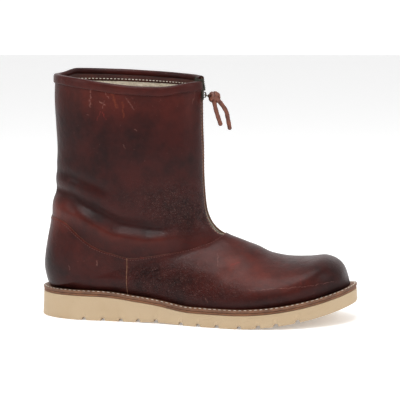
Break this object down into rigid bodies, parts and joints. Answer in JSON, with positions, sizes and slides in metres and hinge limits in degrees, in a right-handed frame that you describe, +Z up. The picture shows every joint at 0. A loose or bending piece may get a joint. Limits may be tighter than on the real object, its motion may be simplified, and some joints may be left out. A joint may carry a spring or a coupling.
{
  "type": "leather boot",
  "caption": "Right mid-calf leather boot with a front zip, knotted leather zip pull, stitched welt and a cream wedge sole; stands upright and opens at the collar.",
  "frame": {"origin": "centre of the boot's outline in plan, on the floor that it stands on", "axes": "+X towards the toe, +Y towards the inner side of the foot, +Z up"},
  "size_m": [0.31, 0.112, 0.2405],
  "materials": {
    "leather": "waxed oxblood pull-up leather, worn, satin",
    "sole": "matt cream foam rubber",
    "welt": "brown dyed leather, stitched",
    "insole": "natural leather board",
    "lining": "cream wool pile",
    "stitching": "pale waxed thread",
    "zip_tape": "dark woven tape",
    "zip_metal": "dark antique metal",
    "thong": "undyed brown leather lace"
  },
  "bodies": {
    "boot": {"outsole": "sole", "midsole": "welt", "welt": "welt", "insole": "insole", "upper": "leather", "collar_binding": "leather", "zip_tape_outer": "zip_tape", "zip_tape_inner": "zip_tape", "zip_teeth_outer": "zip_metal", "zip_teeth_inner": "zip_metal", "zip_slider": "zip_metal"},
    "zip_pull": {"pull_tab": "zip_metal", "thong_knot": "thong", "thong_tail_outer": "thong", "thong_tail_inner": "thong"}
  },
  "joints": [
    {"name": "pull_swing", "type": "hinge", "parent": "boot", "child": "zip_pull", "pos_m": [0.00884, 0.00359, 0.21653], "axis": [0, -1, 0], "range_deg": [-22, 58]}
  ]
}
